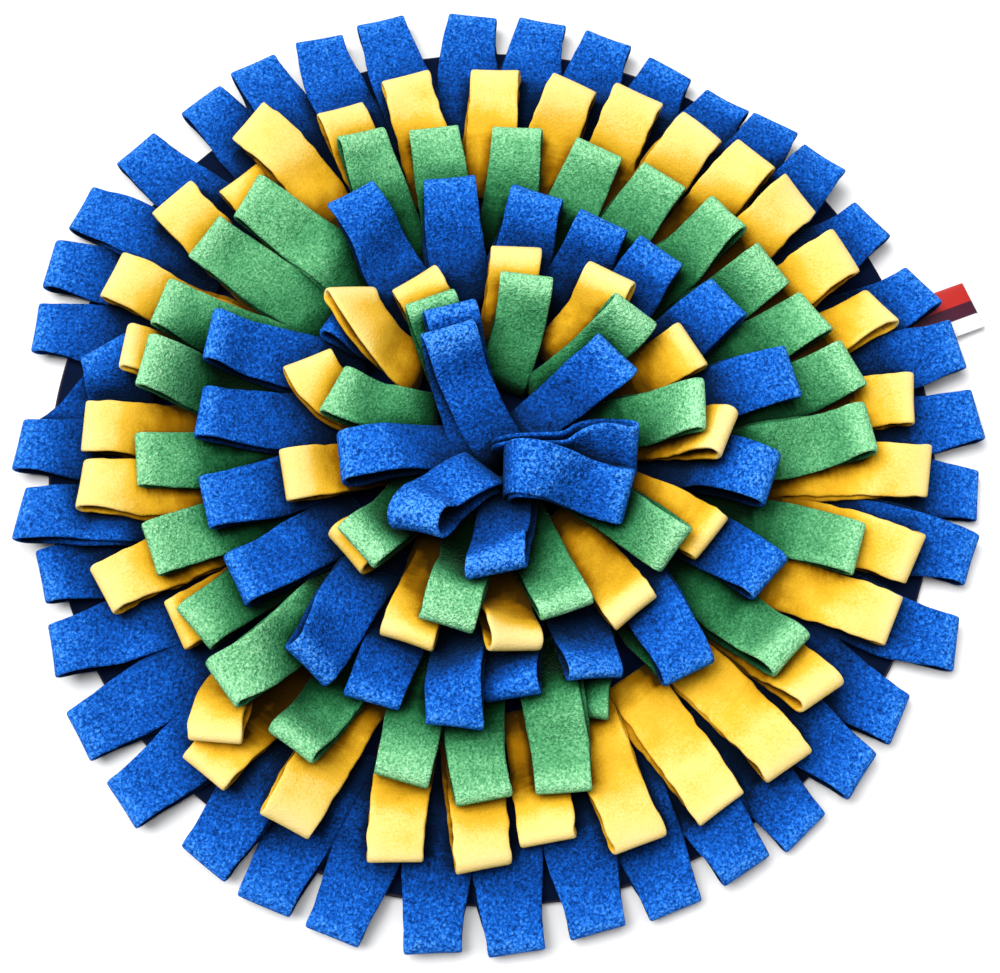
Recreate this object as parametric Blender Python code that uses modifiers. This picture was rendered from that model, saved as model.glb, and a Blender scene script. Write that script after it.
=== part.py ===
"""Snuffle mat: a round base cloth, seven rings of folded fleece loops and a folded side label.

The mat lies on Z = 0 with the middle of its base cloth on the origin. Lengths are in millimetres
until a mesh is made. Bearings are in degrees, clockwise from +Y when seen from above.
"""
import math
from collections import namedtuple

import bmesh
import bpy
import numpy as np

MM = 0.001

# Base cloth
BASE_RADIUS = 212.0
BASE_THICK = 3.0
BASE_SIDES = 72
EDGE_DROOP = 2.2        # how far loop tips sink past the base cloth's edge
DROOP_WIDTH = 22.0

# Fleece strips
STRIP_WIDTH = 25.5
FLEECE_THICK = 2.2
LAYER_GAP = 1.8         # air between a loop's two layers at its tip
CLEARANCE = 0.8         # between a loop and whatever it lies on

# Seam strips, one under each ring of loops: the gathered ends of the loops, stitched to the base cloth
SEAM_WIDTH = 6.0
SEAM_THICK = 5.4
SEAM_LIFT = 0.3
SEAM_SIDES = 16         # least number of sides of a seam strip's ring
SEAM_TOP = BASE_THICK + SEAM_LIFT + SEAM_THICK
ROOT_HEIGHT = SEAM_TOP - SEAM_THICK / 2.0
ROOT_SPREAD = 1.5       # from the middle of a loop's root to each of its layers

# Folded label, sewn to the base cloth's edge
LABEL_BEARING = 71.0
LABEL_TURN = -5.0
LABEL_WIDTH = 25.0
LABEL_INNER = 201.0
LABEL_OUTER = 248.5
LABEL_THICK = 1.0

# Shape of a loop along its length: 0 is the root and 1 the fold at the tip
STATIONS = (0.0, 0.34, 0.67, 1.0)
KNEE = 0.5              # share of a loop's length that follows the heading of its tip
SEAM_ZONE = 0.15        # share of a loop's length that rises from its seam
SOFTEN = 0.06           # share of a loop's length over which it bridges a bump
CREST_STEP = 1.2        # every other loop of a ring stands this much higher near its seam
SPOTS_ALONG = 35        # places along a loop where its rest on what lies below is felt
SPOTS_ACROSS = 27

Loop = namedtuple("Loop", "bearing reach turn")
Odd = namedtuple("Odd", "gap roll", defaults=(LAYER_GAP, 0.0))
Row = namedtuple("Row", "name colour root_radius root_width root_zone first_root crest loops")

BLUE = (0.007, 0.085, 0.60)
YELLOW = (0.96, 0.55, 0.035)
GREEN = (0.035, 0.30, 0.10)
NAVY = (0.006, 0.008, 0.02)
RED = (0.55, 0.03, 0.03)


def loops(*columns):
    """Loops of one ring, each given as its tip's bearing, its reach and its turn off the radius."""
    return [Loop(*column) for column in columns]


OUTER_BLUE = loops(
    (355, 230, 14), (4, 229, 9), (13, 225, 9), (22, 220, 5), (31, 217, 6), (38, 219, -7),
    (46, 221, -5), (56, 222, -9), (67, 226, -16), (75, 231, -8), (84, 233, -13), (94, 231, 3),
    (102, 230, 5), (112, 233, -15), (123, 226, -8), (131, 227, -7), (140, 228, -5), (148, 226, -3),
    (157, 228, -1), (166, 227, 0), (175, 231, -8), (184, 232, -8), (195, 235, 6), (203, 234, -2),
    (211, 232, 2), (222, 236, 8), (231, 232, 7), (241, 224, 10), (250, 219, 5), (258, 222, 16),
    (267, 225, 3), (278, 200, 24), (282, 230, -12), (290, 236, -14), (298, 238, -5), (308, 237, 6),
    (318, 234, -6), (326, 236, 3), (335, 234, 13), (343, 234, -2))
OUTER_YELLOW = loops(
    (358, 193, 3), (10, 188, 14), (20, 190, 3), (31, 187, 10), (40, 191, 3), (48, 192, -3),
    (59, 194, -3), (69, 199, -6), (82, 201, 4), (92, 204, -3), (104, 204, 5), (113, 202, -7),
    (128, 192, 12), (137, 200, 4), (147, 198, -3), (159, 196, -1), (170, 187, 0), (179, 196, -7),
    (190, 197, -14), (205, 199, 4), (217, 201, 2), (226, 188, -8), (236, 186, 6), (245, 193, -8),
    (260, 193, 10), (269, 192, 1), (280, 178, -6), (291, 200, 1), (305, 198, 10), (314, 184, 0),
    (321, 202, -10), (333, 187, 0), (344, 195, -4))
OUTER_GREEN = loops(
    (2, 160, 0), (17, 158, 5), (30, 158, 6), (44, 160, 2), (55, 161, -7), (66, 167, -10),
    (76, 175, -14), (87, 178, -10), (106, 177, 4), (126, 172, 6), (139, 134, 0), (161, 137, 22),
    (167, 168, 9), (179, 168, -16), (192, 164, -1), (209, 172, 6), (222, 167, 6), (233, 164, -7),
    (248, 167, 0), (263, 167, 3), (278, 166, 3), (289, 171, -3), (303, 173, 1), (312, 170, -13),
    (334, 169, 1), (347, 163, 3))
MIDDLE_BLUE = loops(
    (348, 131, 8), (8, 124, 6), (24, 121, -2), (39, 123, -9), (57, 131, -12), (76, 142, -6),
    (99, 130, 10), (117, 144, 11), (140, 141, 16), (157, 125, 8), (173, 125, -6), (185, 136, -4),
    (201, 137, -4), (215, 140, -3), (236, 138, 3), (253, 138, 1), (271, 139, 2), (286, 143, -8),
    (307, 120, 0), (328, 137, 6))
MIDDLE_YELLOW = loops(
    (4, 94, -3), (34, 97, -10), (63, 105, -8), (92, 109, 14), (115, 113, 12), (141, 109, 5),
    (173, 106, -10), (199, 107, -3), (226, 92, 8), (255, 100, 5), (291, 96, 30), (313, 99, 24),
    (331, 87, 1))
INNER_GREEN = loops(
    (9, 79, -8), (46, 88, -12), (83, 97, 2), (122, 101, 2), (157, 94, 0), (191, 94, 12),
    (224, 86, 2), (282, 79, 10), (332, 73, 12))
CENTRE_BLUE = loops(
    (337, 60, 8), (333, 49, 1), (56, 65, -10), (97, 66, -12), (119, 69, -10), (176, 74, -12),
    (211, 66, -9), (249, 72, -3))

ROWS = (
    Row("row_1_blue", BLUE, 166.0, 18.0, 0.5, 355.0, 5.5, OUTER_BLUE),
    Row("row_2_yellow", YELLOW, 137.0, 18.0, 0.5, 356.0, 9.0, OUTER_YELLOW),
    Row("row_3_green", GREEN, 108.0, 18.0, 0.5, 0.0, 12.0, OUTER_GREEN),
    Row("row_4_blue", BLUE, 83.0, 18.0, 0.5, 347.0, 14.0, MIDDLE_BLUE),
    Row("row_5_yellow", YELLOW, 54.0, 18.0, 0.5, 5.0, 17.0, MIDDLE_YELLOW),
    Row("row_6_green", GREEN, 37.0, 18.0, 0.5, 5.0, 20.0, INNER_GREEN),
    Row("row_7_blue", BLUE, 15.0, 10.0, 0.6, 320.0, 30.0, CENTRE_BLUE),
)

# Loops that stand open or lean, by row name and place in the row (counted from 0)
ODD_LOOPS = {
    ("row_2_yellow", 21): Odd(gap=3.0, roll=-30.0),
    ("row_4_blue", 6): Odd(gap=8.0),
    ("row_5_yellow", 3): Odd(gap=6.0),
    ("row_5_yellow", 11): Odd(gap=8.0),
    ("row_7_blue", 6): Odd(gap=6.0),
    ("row_7_blue", 7): Odd(gap=5.0),
}

# Loops that lie over both of their neighbours and so are laid after the rest of their ring
LAID_LATE = {("row_1_blue", 31), ("row_7_blue", 1), ("row_7_blue", 4), ("row_7_blue", 6)}


def compass(bearing):
    """Unit vector in plan that points along a bearing."""
    return np.array([math.sin(math.radians(bearing)), math.cos(math.radians(bearing))])


class Relief:
    """Height of everything laid so far, on a square grid in plan."""

    CELL = 1.0
    HALF = 280.0

    def __init__(self):
        axis = np.arange(-self.HALF, self.HALF, self.CELL)
        self.radius = np.hypot(*np.meshgrid(axis, axis, indexing="ij"))
        past_edge = np.clip((self.radius - BASE_RADIUS) / DROOP_WIDTH, 0.0, 1.0)
        self.height = BASE_THICK - EDGE_DROOP * past_edge
        self.below = self.height.copy()

    def start_row(self):
        """Remember what lies there before a ring's own loops do."""
        self.below = self.height.copy()

    def index(self, x, y):
        column = np.clip(np.rint((x + self.HALF) / self.CELL).astype(int), 0, len(self.height) - 1)
        line = np.clip(np.rint((y + self.HALF) / self.CELL).astype(int), 0, len(self.height) - 1)
        return column, line

    def under(self, x, y, own_ring):
        """Height at places in plan, with the ring's own loops counted where own_ring is true."""
        cells = self.index(x, y)
        return np.where(own_ring, self.height[cells], self.below[cells])

    def cover(self, x, y, z):
        np.maximum.at(self.height, self.index(x, y), z)

    def cover_seam(self, radius):
        """Raise the grid to the top of a ring's seam strip."""
        seam = np.abs(self.radius - radius) < SEAM_WIDTH / 2.0 + self.CELL
        self.height[seam] = np.maximum(self.height[seam], SEAM_TOP)

    def cover_band(self, path, sides, halves):
        """Raise the grid to the top of a band of fleece with a middle line, side vectors and half widths."""
        step = 0.7 * self.CELL
        stops = list(zip(path, sides, halves))
        for (start, side_0, half_0), (end, side_1, half_1) in zip(stops[:-1], stops[1:]):
            length = np.linalg.norm(end - start)
            along = np.linspace(0.0, 1.0, max(2, math.ceil(length / step)))[:, None, None]
            across = np.linspace(-1.0, 1.0, math.ceil(2.0 * max(half_0, half_1) / step))[None, :, None]
            middle = start + (end - start) * along
            side = side_0 * half_0 + (side_1 * half_1 - side_0 * half_0) * along
            points = middle + side * across
            normal = np.cross(side_0, end - start)
            normal *= np.sign(normal[2]) / np.linalg.norm(normal)
            for offset in (normal, np.array([0.0, 0.0, 1.0])):
                top = points + offset * FLEECE_THICK / 2.0
                self.cover(top[..., 0], top[..., 1], top[..., 2])


def plan_of_loop(row, place):
    """Function from share of length to point and direction in plan, and the length of the plan."""
    loop = row.loops[place]
    root = row.root_radius * compass(row.first_root + place * 360.0 / len(row.loops))
    tip = loop.reach * compass(loop.bearing)
    knee = tip - KNEE * np.linalg.norm(tip - root) * compass(loop.bearing + loop.turn)
    length = np.linalg.norm(tip - root)

    def at(share):
        share = np.asarray(share)[..., None]
        point = (1 - share) ** 2 * root + 2 * share * (1 - share) * knee + share ** 2 * tip
        ahead = 2 * (1 - share) * (knee - root) + 2 * share * (tip - knee)
        return point, ahead / np.linalg.norm(ahead, axis=-1, keepdims=True)

    return at, length


def widths_of(row):
    """Width of a ring's strips at each station: gathered at the seam, full in the outer half."""
    return np.array([row.root_width, (row.root_width + STRIP_WIDTH) / 2.0, STRIP_WIDTH, STRIP_WIDTH])


def side_of(ahead):
    """Plan direction across a strip, to the right of its heading."""
    return np.stack([ahead[..., 1], -ahead[..., 0]], axis=-1)


def resting_heights(row, place, at, stations, roll, relief):
    """Underside of a loop at its stations: it lies on what is below, straight or arched in between."""
    fine = np.linspace(SEAM_ZONE, 1.0, SPOTS_ALONG)
    point, ahead = at(fine)
    width = np.interp(fine, stations, widths_of(row))
    across = np.linspace(-0.5, 0.5, SPOTS_ACROSS)[None, :] * width[:, None]
    places = point[:, None, :] + side_of(ahead)[:, None, :] * (across * math.cos(roll))[..., None]
    apart = (fine >= row.root_zone)[:, None]
    needed = relief.under(places[..., 0], places[..., 1], apart) + CLEARANCE - across * math.sin(roll)
    needed = needed.max(axis=1)

    reach = int(round(SOFTEN * len(fine)))
    needed = np.array([needed[max(0, i - reach):i + reach + 1].max() for i in range(len(fine))])

    root = ROOT_HEIGHT - ROOT_SPREAD - FLEECE_THICK / 2.0
    share = np.clip(fine / stations[1], 0.0, 1.0)
    height = np.full(len(stations), (root + (needed - root) / share).max())
    height[0] = root
    for _ in range(4):
        for station in range(len(stations) - 1, 0, -1):
            others = height.copy()
            others[station] = 0.0
            weight = np.interp(fine, stations, np.arange(len(stations)) == station)
            bears = weight > 0.05
            lowest = (needed - np.interp(fine, stations, others))[bears] / weight[bears]
            height[station] = lowest.max()
    height[1] = max(height[1], row.crest + place % 2 * CREST_STEP)
    for middle in range(len(stations) - 2, 0, -1):
        near = stations[[middle - 1, middle + 1]]
        chord = np.interp(stations[middle], near, height[[middle - 1, middle + 1]])
        height[middle] = max(height[middle], chord)
    return height


def loop_path(row, place, relief):
    """Middle line of a loop's fleece, out along the lower layer, round the fold and back along the upper."""
    odd = ODD_LOOPS.get((row.name, place), Odd())
    at, length = plan_of_loop(row, place)
    roll = math.radians(odd.roll)
    nose = (odd.gap + FLEECE_THICK) / 2.0
    stations = np.array(STATIONS) * (1.0 - (nose + FLEECE_THICK / 2.0) / length)
    height = resting_heights(row, place, at, stations, roll, relief)
    point, ahead = at(stations)

    spine = np.column_stack([point, height])
    tangent = np.gradient(spine, axis=0)
    tangent /= np.linalg.norm(tangent, axis=1, keepdims=True)
    side = np.column_stack([side_of(ahead), np.zeros(len(stations))])
    normal = np.cross(side, tangent)
    lean = np.array([0.0, *([roll] * (len(stations) - 1))])[:, None]
    side = side * np.cos(lean) + normal * np.sin(lean)

    lower = spine + normal * FLEECE_THICK / 2.0
    upper = lower + normal * 2.0 * nose
    front = (lower[-1] + upper[-1]) / 2.0 + tangent[-1] * nose
    root = np.array([*point[0], ROOT_HEIGHT])
    lower[0] = root - normal[0] * ROOT_SPREAD
    upper[0] = root + normal[0] * ROOT_SPREAD
    path = np.vstack([lower, front, upper[::-1]])
    sides = np.vstack([side, side[-1], side[::-1]])
    half = widths_of(row) / 2.0
    halves = np.concatenate([half, half[-1:], half[::-1]])
    return path, sides, halves


def material(name, colour, roughness):
    """Plain cloth of one colour."""
    result = bpy.data.materials.new(name)
    result.use_nodes = True
    shader = result.node_tree.nodes["Principled BSDF"]
    shader.inputs["Base Color"].default_value = (*colour, 1.0)
    shader.inputs["Roughness"].default_value = roughness
    shader.inputs["Metallic"].default_value = 0.0
    return result


def add_object(name, mesh, collection, cloth=None):
    """Object with a mesh, in a collection, with one material."""
    result = bpy.data.objects.new(name, mesh)
    collection.objects.link(result)
    if cloth:
        mesh.materials.append(cloth)
    return result


def strip_grid(work, path, sides, halves):
    """Lay a flat strip of quads along a loop's path."""
    grid = bmesh.ops.create_grid(work, x_segments=len(path) - 1, y_segments=1, size=1.0)
    columns = len(path) - 1
    for vert in grid["verts"]:
        place = round((vert.co.x + 1.0) / 2.0 * columns)
        edge = math.copysign(1.0, vert.co.y)
        vert.co = (path[place] + sides[place] * halves[place] * edge) * MM


def seam_strip(row, collection):
    """Guide solid: the narrow strip that a ring's loops are sewn into, turned about the Z axis."""
    top = SEAM_TOP * MM
    bottom = top - SEAM_THICK * MM
    inner = (row.root_radius - SEAM_WIDTH / 2.0) * MM
    outer = (row.root_radius + SEAM_WIDTH / 2.0) * MM
    corners = ((inner, top), (outer, top), (outer, bottom), (inner, bottom))
    mesh = bpy.data.meshes.new(row.name + "_seam")
    mesh.from_pydata([(x, 0.0, z) for x, z in corners], [(0, 1), (1, 2), (2, 3), (3, 0)], [])
    strip = add_object(row.name + "_seam", mesh, collection)
    screw = strip.modifiers.new("turn", "SCREW")
    screw.axis = "Z"
    screw.angle = math.tau
    screw.steps = len(row.loops) * math.ceil(SEAM_SIDES / len(row.loops))
    screw.render_steps = screw.steps
    screw.use_merge_vertices = True
    screw.merge_threshold = 0.00001
    strip.rotation_euler.z = math.radians(90.0 - row.first_root - 180.0 / len(row.loops))
    strip.hide_render = True
    strip.display_type = "WIRE"
    return strip


def row_of_loops(row, relief, parts, guides):
    """One ring: its loops, laid clockwise over what is already there, in one piece with their seam strip."""
    work = bmesh.new()
    relief.start_row()
    order = sorted(range(len(row.loops)), key=lambda place: (row.name, place) in LAID_LATE)
    for place in order:
        path, sides, halves = loop_path(row, place, relief)
        strip_grid(work, path, sides, halves)
        relief.cover_band(path, sides, halves)
    relief.cover_seam(row.root_radius)
    mesh = bpy.data.meshes.new(row.name)
    work.to_mesh(mesh)
    work.free()
    ring = add_object(row.name, mesh, parts, material(row.name, row.colour, 0.95))
    thick = ring.modifiers.new("fleece", "SOLIDIFY")
    thick.thickness = FLEECE_THICK * MM
    thick.offset = 0.0
    thick.use_even_offset = True
    sewn = ring.modifiers.new("sewn", "BOOLEAN")
    sewn.operation = "UNION"
    sewn.object = seam_strip(row, guides)
    sewn.use_self = True


def base_cloth(parts):
    """Round sheet that every ring is sewn to."""
    mesh = bpy.data.meshes.new("backing")
    work = bmesh.new()
    bmesh.ops.create_cone(work, cap_ends=True, segments=BASE_SIDES, radius1=BASE_RADIUS * MM,
                          radius2=BASE_RADIUS * MM, depth=BASE_THICK * MM)
    work.to_mesh(mesh)
    work.free()
    cloth = add_object("backing", mesh, parts, material("backing", NAVY, 0.9))
    cloth.location.z = BASE_THICK / 2.0 * MM


def folded_label(relief, parts):
    """Short ribbon tab that lies on the base cloth and sticks out past its edge."""
    mesh = bpy.data.meshes.new("label")
    work = bmesh.new()
    length = LABEL_OUTER - LABEL_INNER
    bmesh.ops.create_cube(work, size=1.0)
    for vert in work.verts:
        vert.co = (vert.co.x * LABEL_WIDTH * MM, vert.co.y * length * MM, vert.co.z * LABEL_THICK * MM)
    work.to_mesh(mesh)
    work.free()
    label = add_object("label", mesh, parts, material("label", RED, 0.6))
    centre = compass(LABEL_BEARING) * (LABEL_INNER + LABEL_OUTER) / 2.0
    middle = BASE_THICK + SEAM_LIFT + LABEL_THICK / 2.0
    label.location = (centre[0] * MM, centre[1] * MM, middle * MM)
    label.rotation_euler.z = -math.radians(LABEL_BEARING + LABEL_TURN)
    ahead = compass(LABEL_BEARING + LABEL_TURN)
    side = side_of(ahead)
    across = np.arange(-LABEL_WIDTH, LABEL_WIDTH, Relief.CELL)[:, None, None] / 2.0
    along = np.arange(-length, length, Relief.CELL)[None, :, None] / 2.0
    spots = centre + across * side + along * ahead
    relief.cover(spots[..., 0], spots[..., 1], np.full(spots.shape[:2], middle + LABEL_THICK / 2.0))


for old in list(bpy.data.objects):
    bpy.data.objects.remove(old)

part_collection = bpy.data.collections.new("snuffle_mat")
guide_collection = bpy.data.collections.new("guides")
bpy.context.scene.collection.children.link(part_collection)
bpy.context.scene.collection.children.link(guide_collection)

laid = Relief()
base_cloth(part_collection)
folded_label(laid, part_collection)
for ring_row in ROWS:
    row_of_loops(ring_row, laid, part_collection, guide_collection)
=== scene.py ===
import math
from collections import namedtuple

import bmesh
import bpy
import numpy as np
from mathutils import Matrix, Vector


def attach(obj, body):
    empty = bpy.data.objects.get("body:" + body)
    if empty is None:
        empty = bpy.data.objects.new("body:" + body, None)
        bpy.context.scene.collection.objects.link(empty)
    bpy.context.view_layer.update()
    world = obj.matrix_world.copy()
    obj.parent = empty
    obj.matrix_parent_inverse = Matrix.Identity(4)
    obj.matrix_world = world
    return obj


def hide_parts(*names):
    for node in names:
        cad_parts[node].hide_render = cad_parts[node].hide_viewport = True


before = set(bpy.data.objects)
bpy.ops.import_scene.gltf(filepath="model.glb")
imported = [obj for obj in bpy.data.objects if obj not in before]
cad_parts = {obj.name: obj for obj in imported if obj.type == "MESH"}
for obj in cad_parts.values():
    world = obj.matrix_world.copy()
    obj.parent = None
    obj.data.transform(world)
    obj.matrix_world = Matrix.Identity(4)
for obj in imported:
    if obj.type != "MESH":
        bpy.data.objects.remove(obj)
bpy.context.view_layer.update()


# ---------------------------------------------------------------- Studio
# Plain pale floor. A broad soft lamp and a wide soft sun stand above the mat, with three weak lamps at
# its sides and faint light from all round. The camera looks steeply down, a little from the near side.

FLOOR_RADIUS = 9.0              # metres, as all lengths of the studio are
FLOOR_SIDES = 64
FLOOR_DROP = 0.0004
FLOOR_COLOUR = (0.93, 0.93, 0.93, 1.0)
CAMERA_PLACE = (0.00394, -0.18465, 0.62829)
CAMERA_TILT = math.radians(14.71)
CAMERA_ROLL = math.radians(2.46)
CAMERA_SENSOR = 36.0            # millimetres, and so is the lens
CAMERA_LENS = 48.89
CAMERA_NEAREST = 0.01
LAMPS = (                       # bearing, degrees above the horizon, distance, width, watts
    (350.0, 82.0, 0.95, 0.80, 6.3),
    (105.0, 28.0, 0.50, 0.20, 0.14),
    (150.0, 40.0, 1.3, 0.5, 0.5),
    (270.0, 40.0, 1.3, 0.5, 0.7),
)
SUN_BEARING = 292.0
SUN_HEIGHT = 58.0
SUN_DISTANCE = 2.0
SUN_WIDTH = math.radians(38.0)
SUN_STRENGTH = 2.4
SKY_STRENGTH = 0.13             # light that the sky gives
BACKDROP_STRENGTH = 0.88        # and how bright it shows behind the floor


class Wire:
    """An output in a shader; arithmetic on it adds Math nodes, and add() puts in any other node."""

    def __init__(self, tree, socket=None):
        self.tree = tree
        self.socket = socket

    def add(self, kind, settings=(), sockets=(), output=0):
        """A node of a kind, with its settings made first and then its sockets filled or linked."""
        node = self.tree.nodes.new(kind)
        for name, value in dict(settings).items():
            if name == "stops":
                ramp = node.color_ramp.elements
                while len(ramp) < len(value):
                    ramp.new(0.5)
                for stop, (place, colour) in zip(ramp, value):
                    stop.position = place
                    stop.color = (*colour, 1.0)
            else:
                setattr(node, name, value)
        for key, value in dict(sockets).items():
            if isinstance(value, Wire):
                self.tree.links.new(value.socket, node.inputs[key])
            elif isinstance(value, tuple) and node.inputs[key].type == "RGBA":
                node.inputs[key].default_value = (*value, 1.0)
            else:
                node.inputs[key].default_value = value
        return Wire(self.tree, node.outputs[output])

    def maths(self, operation, *values):
        """One Math node on these values."""
        return self.add("ShaderNodeMath", {"operation": operation}, dict(enumerate(values)))

    def __add__(self, other):
        return self.maths("ADD", self, other)

    def __sub__(self, other):
        return self.maths("SUBTRACT", self, other)

    def __rsub__(self, other):
        return self.maths("SUBTRACT", other, self)

    def __mul__(self, other):
        return self.maths("MULTIPLY", self, other)

    __radd__ = __add__
    __rmul__ = __mul__

    def over(self, low, high):
        """0 below low and 1 above high, with a straight rise between them."""
        sockets = {"Value": self, "From Min": low, "From Max": high}
        return self.add("ShaderNodeMapRange", {"clamp": True}, sockets)

    def mix(self, first, second):
        """First colour where this is 0 and second colour where it is 1."""
        return self.add("ShaderNodeMix", {"data_type": "RGBA"}, {0: self, 6: first, 7: second}, output=2)

    def noise(self, scale, detail=2.0, roughness=0.5, distortion=0.0):
        """Soft cloudy pattern along this vector."""
        sockets = {"Vector": self, "Scale": scale, "Detail": detail, "Roughness": roughness,
                   "Distortion": distortion}
        return self.add("ShaderNodeTexNoise", {"noise_dimensions": "3D"}, sockets)


def finish_of(name, roughness, **constants):
    """A new material: its name, its shader's inputs and a wire to draw on."""
    made = bpy.data.materials.new(name)
    made.use_nodes = True
    shader = made.node_tree.nodes["Principled BSDF"]
    shader.inputs["Roughness"].default_value = roughness
    for socket, value in constants.items():
        shader.inputs[socket.replace("_", " ")].default_value = value
    return made, shader.inputs, Wire(made.node_tree)


def piece_of(name, work, finish):
    """A bmesh made into an object at the origin, with one material and smooth faces."""
    mesh = bpy.data.meshes.new(name)
    work.to_mesh(mesh)
    work.free()
    mesh.materials.append(finish)
    mesh.shade_smooth()
    made = bpy.data.objects.new(name, mesh)
    bpy.context.scene.collection.objects.link(made)
    return made


floor_finish, floor_shader, wire = finish_of("pale_floor", roughness=0.9)
floor_shader["Base Color"].default_value = FLOOR_COLOUR
floor_work = bmesh.new()
bmesh.ops.create_circle(floor_work, cap_ends=True, segments=FLOOR_SIDES, radius=FLOOR_RADIUS)
bmesh.ops.translate(floor_work, vec=(0.0, 0.0, -FLOOR_DROP), verts=floor_work.verts)
floor = piece_of("floor", floor_work, floor_finish)

camera = bpy.data.objects.new("camera", bpy.data.cameras.new("camera"))
bpy.context.scene.collection.objects.link(camera)
camera.matrix_world = (Matrix.Translation(CAMERA_PLACE) @ Matrix.Rotation(CAMERA_TILT, 4, "X")
                       @ Matrix.Rotation(CAMERA_ROLL, 4, "Z"))
camera.data.sensor_fit = "HORIZONTAL"
camera.data.sensor_width = CAMERA_SENSOR
camera.data.lens = CAMERA_LENS
camera.data.clip_start = CAMERA_NEAREST
bpy.context.scene.camera = camera


def light_from(kind, bearing, height, distance):
    """A light that looks at the middle of the mat."""
    lamp = bpy.data.objects.new("lamp", bpy.data.lights.new("lamp", kind))
    bpy.context.scene.collection.objects.link(lamp)
    out = Vector((0.0, math.cos(math.radians(height)), math.sin(math.radians(height))))
    lamp.location = Matrix.Rotation(-math.radians(bearing), 3, "Z") @ out * distance
    lamp.rotation_euler = lamp.location.to_track_quat("Z", "Y").to_euler()
    return lamp.data


for bearing, height, distance, width, watts in LAMPS:
    lamp = light_from("AREA", bearing, height, distance)
    lamp.shape = "DISK"
    lamp.size = width
    lamp.energy = watts
sun = light_from("SUN", SUN_BEARING, SUN_HEIGHT, SUN_DISTANCE)
sun.energy = SUN_STRENGTH
sun.angle = SUN_WIDTH

sky = bpy.data.worlds.new("sky")
sky.use_nodes = True
sky.node_tree.nodes["Background"].inputs["Color"].default_value = (1.0, 1.0, 1.0, 1.0)
wire = Wire(sky.node_tree)
shows = wire.add("ShaderNodeLightPath")
strength = shows * (BACKDROP_STRENGTH - SKY_STRENGTH) + SKY_STRENGTH
sky.node_tree.links.new(strength.socket, sky.node_tree.nodes["Background"].inputs["Strength"])
bpy.context.scene.world = sky
bpy.context.scene.view_settings.view_transform = "Standard"


# ---------------------------------------------------------------- Base cloth
# One round layer of heavy navy canvas with a cut edge. Every ring of loops is sewn through it, and it
# shows as dark gaps between the outer loops. Relief keeps the height of all that lies on it so far.

MM = 0.001
BASE_RADIUS = 212.0             # millimetres, as all lengths of the mat are unless they say metres
BASE_THICK = 3.0
BASE_SIDES = 180
BASE_BEVEL = 0.9
BASE_BEVEL_STEPS = 3
EDGE_WANDER = 0.5               # how far the cut edge strays in and out
EDGE_WAVES = (3.0, 7.0)         # its slow and its quick waves in one turn round the mat
EDGE_PHASE = 0.6
EDGE_DROOP = 2.2                # how far loops sink past the base cloth's edge
DROOP_WIDTH = 22.0              # and over what width
CUT_FROM = 1.2                  # the cut edge shows its pale threads from here
CUT_FULL = 0.4                  # to here, measured in from the edge
CANVAS_PITCH = 0.0011           # metres from thread to thread
CANVAS_CLOUDS = 90.0            # faded spots to a metre
WEAVE_TONE = 0.5                # how much the threads change the canvas's tone
CLOUD_TONE = 0.9                # and the faded spots
TONE_RANGE = (0.3, 1.1)         # sums of both that give its dark and its light colour
CLOUD_RELIEF = 0.5              # height of the spots against that of the threads
CANVAS_RELIEF = 0.0003          # metres
CANVAS_DARK = (0.0010, 0.0032, 0.013)
CANVAS_LIGHT = (0.0025, 0.009, 0.038)
CANVAS_EDGE = (0.035, 0.03, 0.04)


class Relief:
    """Height of everything laid so far, on a square grid in plan, in millimetres."""

    CELL = 1.0
    HALF = 280.0
    FINENESS = 1.5              # points of a sheet to a cell when it is laid

    def __init__(self):
        axis = np.arange(-self.HALF, self.HALF, self.CELL)
        self.radius = np.hypot(*np.meshgrid(axis, axis, indexing="ij"))
        past_edge = np.clip((self.radius - BASE_RADIUS) / DROOP_WIDTH, 0.0, 1.0)
        self.height = BASE_THICK - EDGE_DROOP * past_edge
        self.below = self.height.copy()

    def start_ring(self):
        """Remember what lies there before a ring's own loops do."""
        self.below = self.height.copy()

    def index(self, points):
        """Cells under points in plan."""
        cells = np.rint((points[..., :2] + self.HALF) / self.CELL).astype(int)
        cells = np.clip(cells, 0, len(self.height) - 1)
        return cells[..., 0], cells[..., 1]

    def under(self, points, own_ring):
        """Height under points, with the ring's own loops counted where own_ring is true."""
        cells = self.index(points)
        return np.where(own_ring, self.height[cells], self.below[cells])

    def cover(self, sheet, thick):
        """Raise the grid to the top of a sheet, given as rows of points on its middle surface."""
        for axis in (0, 1):
            count = sheet.shape[axis]
            span = np.linalg.norm(np.diff(sheet, axis=axis), axis=-1).max()
            steps = (count - 1) * math.ceil(self.FINENESS * span / self.CELL)
            stops = np.linspace(0.0, count - 1.0, steps + 1)
            low = np.minimum(stops.astype(int), count - 2)
            part = (stops - low)[:, None, None] if axis == 0 else (stops - low)[None, :, None]
            sheet = sheet.take(low, axis) * (1.0 - part) + sheet.take(low + 1, axis) * part
        np.maximum.at(self.height, self.index(sheet), sheet[..., 2] + thick / 2.0)


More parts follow.
